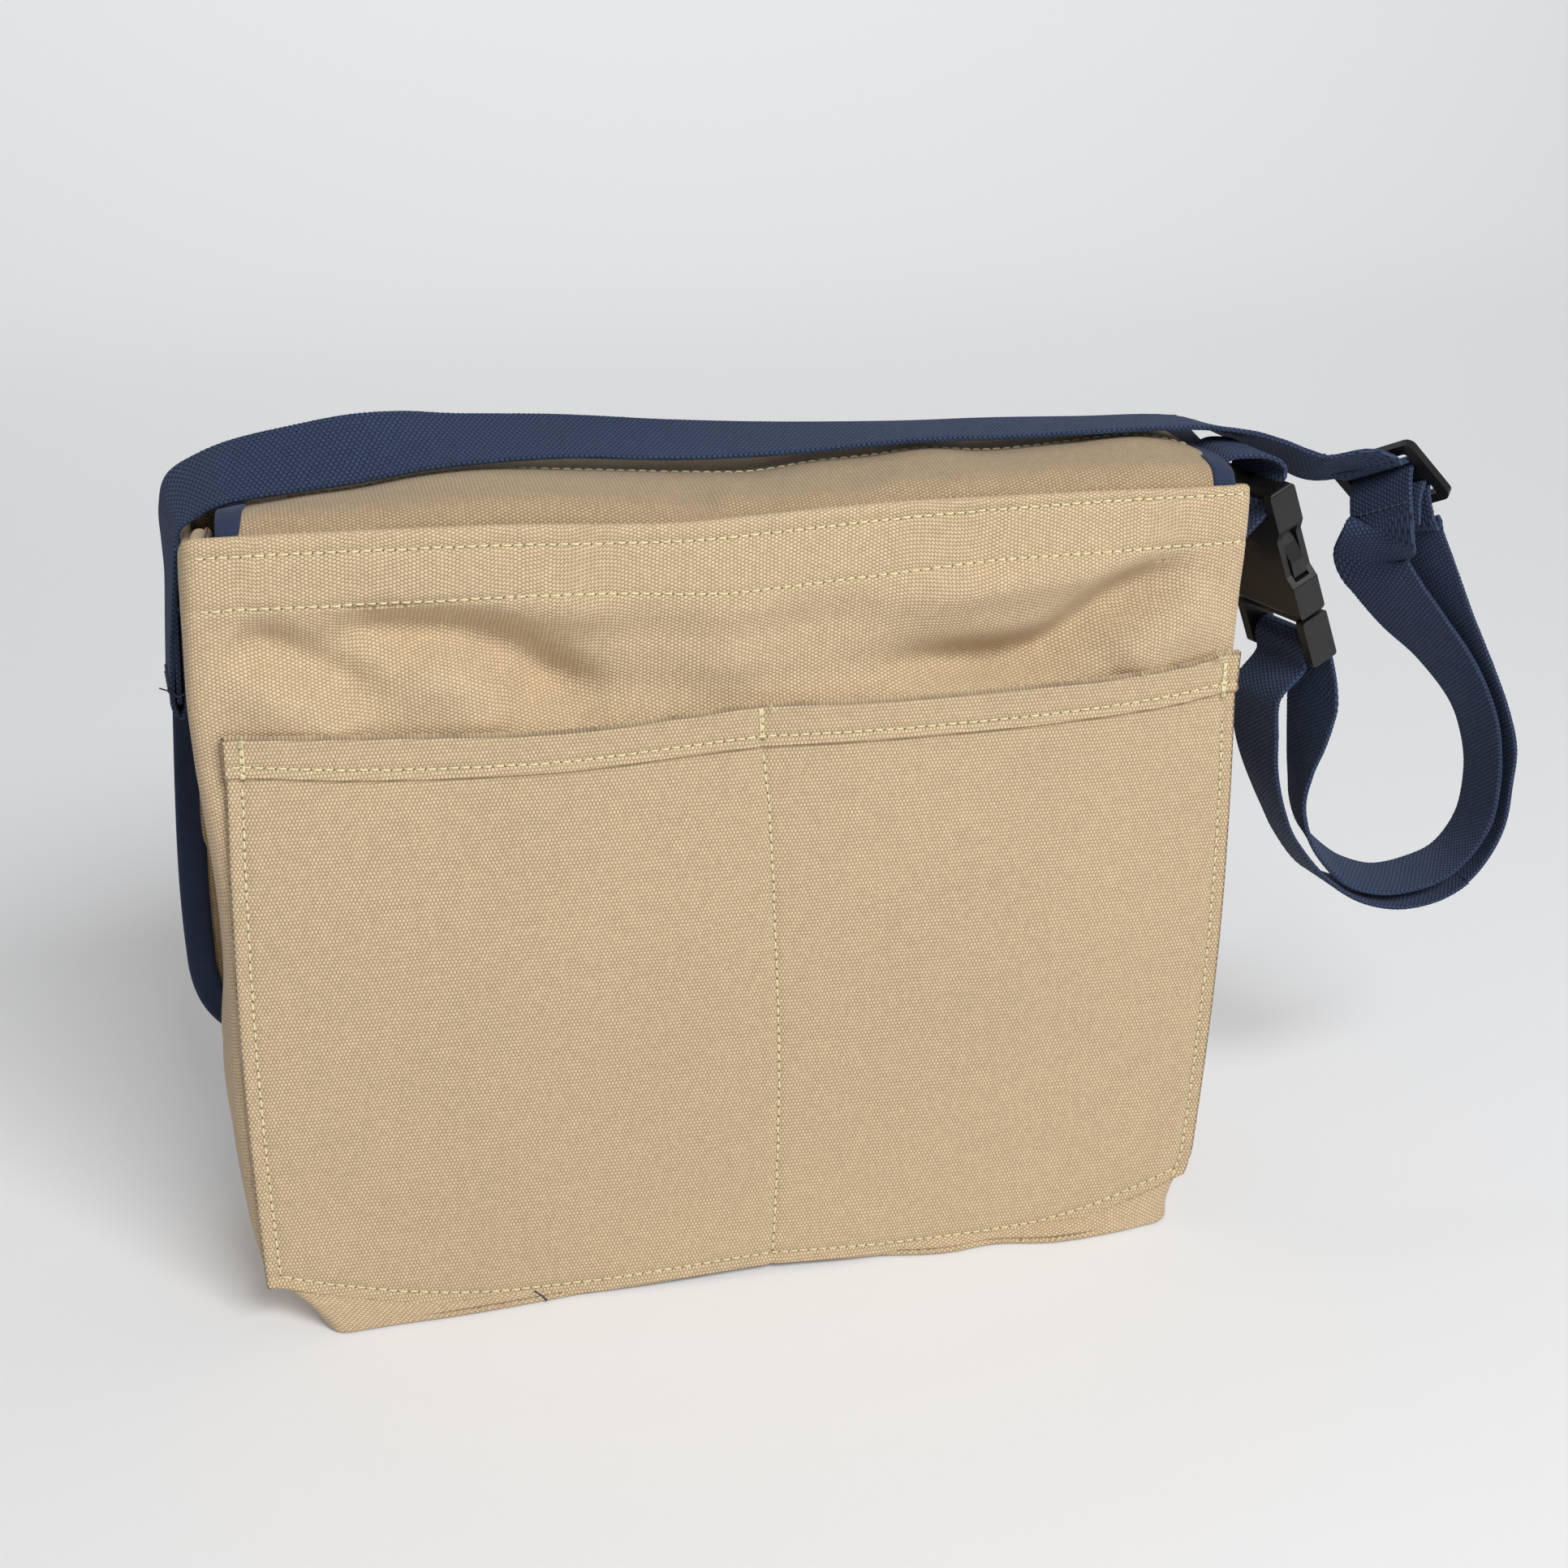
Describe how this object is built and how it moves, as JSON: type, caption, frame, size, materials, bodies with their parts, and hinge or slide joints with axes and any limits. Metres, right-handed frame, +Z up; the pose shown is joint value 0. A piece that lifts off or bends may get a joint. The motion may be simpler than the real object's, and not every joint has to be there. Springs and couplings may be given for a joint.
{
  "type": "messenger bag",
  "caption": "Soft messenger bag with a rear divided slip pocket, bound flap, webbing shoulder strap, slider and side-release buckle.",
  "frame": {"origin": "centre of the base, on the floor", "axes": "+X to the right seen from the pocket side, +Y towards the side the flap hangs on, +Z up"},
  "size_m": [0.4537, 0.1032, 0.2889],
  "materials": {
    "duck": "khaki cotton duck, matt",
    "binding": "navy woven binding, matt",
    "webbing": "navy cotton webbing, matt",
    "plastic": "black moulded plastic, satin"
  },
  "bodies": {
    "bag": {"back_panel": "duck", "back_hem": "duck", "front_panel": "duck", "front_hem": "duck", "base_panel": "duck", "left_gusset": "duck", "right_gusset": "duck", "left_gusset_hem": "duck", "right_gusset_hem": "duck", "pocket_panel": "duck", "pocket_hem": "duck", "flap_inset": "duck", "strap_end": "webbing", "strap_main": "webbing", "strap_loop": "webbing", "anchor_tab": "webbing", "buckle_socket": "plastic"},
    "flap_top": {"flap_crest": "duck", "binding_left": "binding", "binding_right": "binding"},
    "flap_front": {"flap_drop": "duck", "binding_drop": "binding"},
    "plug": {"buckle_plug": "plastic"},
    "near_prong": {"prong_near": "plastic"},
    "far_prong": {"prong_far": "plastic"},
    "slider": {"slider_bars": "plastic", "strap_fold": "webbing"}
  },
  "joints": [
    {"name": "flap_lift", "type": "hinge", "parent": "bag", "child": "flap_top", "pos_m": [0, -0.041, 0.2672], "axis": [1, 0, 0], "range_deg": [0, 180], "deforming": ["strap_main"]},
    {"name": "flap_fold", "type": "hinge", "parent": "flap_top", "child": "flap_front", "pos_m": [0, 0.0488, 0.2632], "axis": [1, 0, 0], "range_deg": [0, 170]},
    {"name": "buckle_release", "type": "slide", "parent": "bag", "child": "plug", "axis": [0.3582, 0.1095, -0.9272], "range_m": [0, 0.03], "deforming": ["strap_loop", "prong_near", "prong_far"]},
    {"name": "prong_squeeze_near", "type": "hinge", "parent": "plug", "child": "near_prong", "pos_m": [0.19535, -0.01795, 0.21168], "axis": [-0.8867, -0.2711, -0.3746], "range_deg": [0, 6], "stiffness_Nm_per_rad": 0.5},
    {"name": "prong_squeeze_far", "type": "hinge", "parent": "plug", "child": "far_prong", "pos_m": [0.18903, 0.00271, 0.21168], "axis": [0.8867, 0.2711, 0.3746], "range_deg": [0, 6], "stiffness_Nm_per_rad": 0.5},
    {"name": "slider_adjust", "type": "slide", "parent": "bag", "child": "slider", "axis": [-0.9498, 0.14, 0.2799], "range_m": [-0.04, 0.02], "deforming": ["strap_main", "strap_loop"]}
  ],
  "couplings": [
    {"joint": "prong_squeeze_far", "follows": "prong_squeeze_near", "ratio": 1}
  ]
}
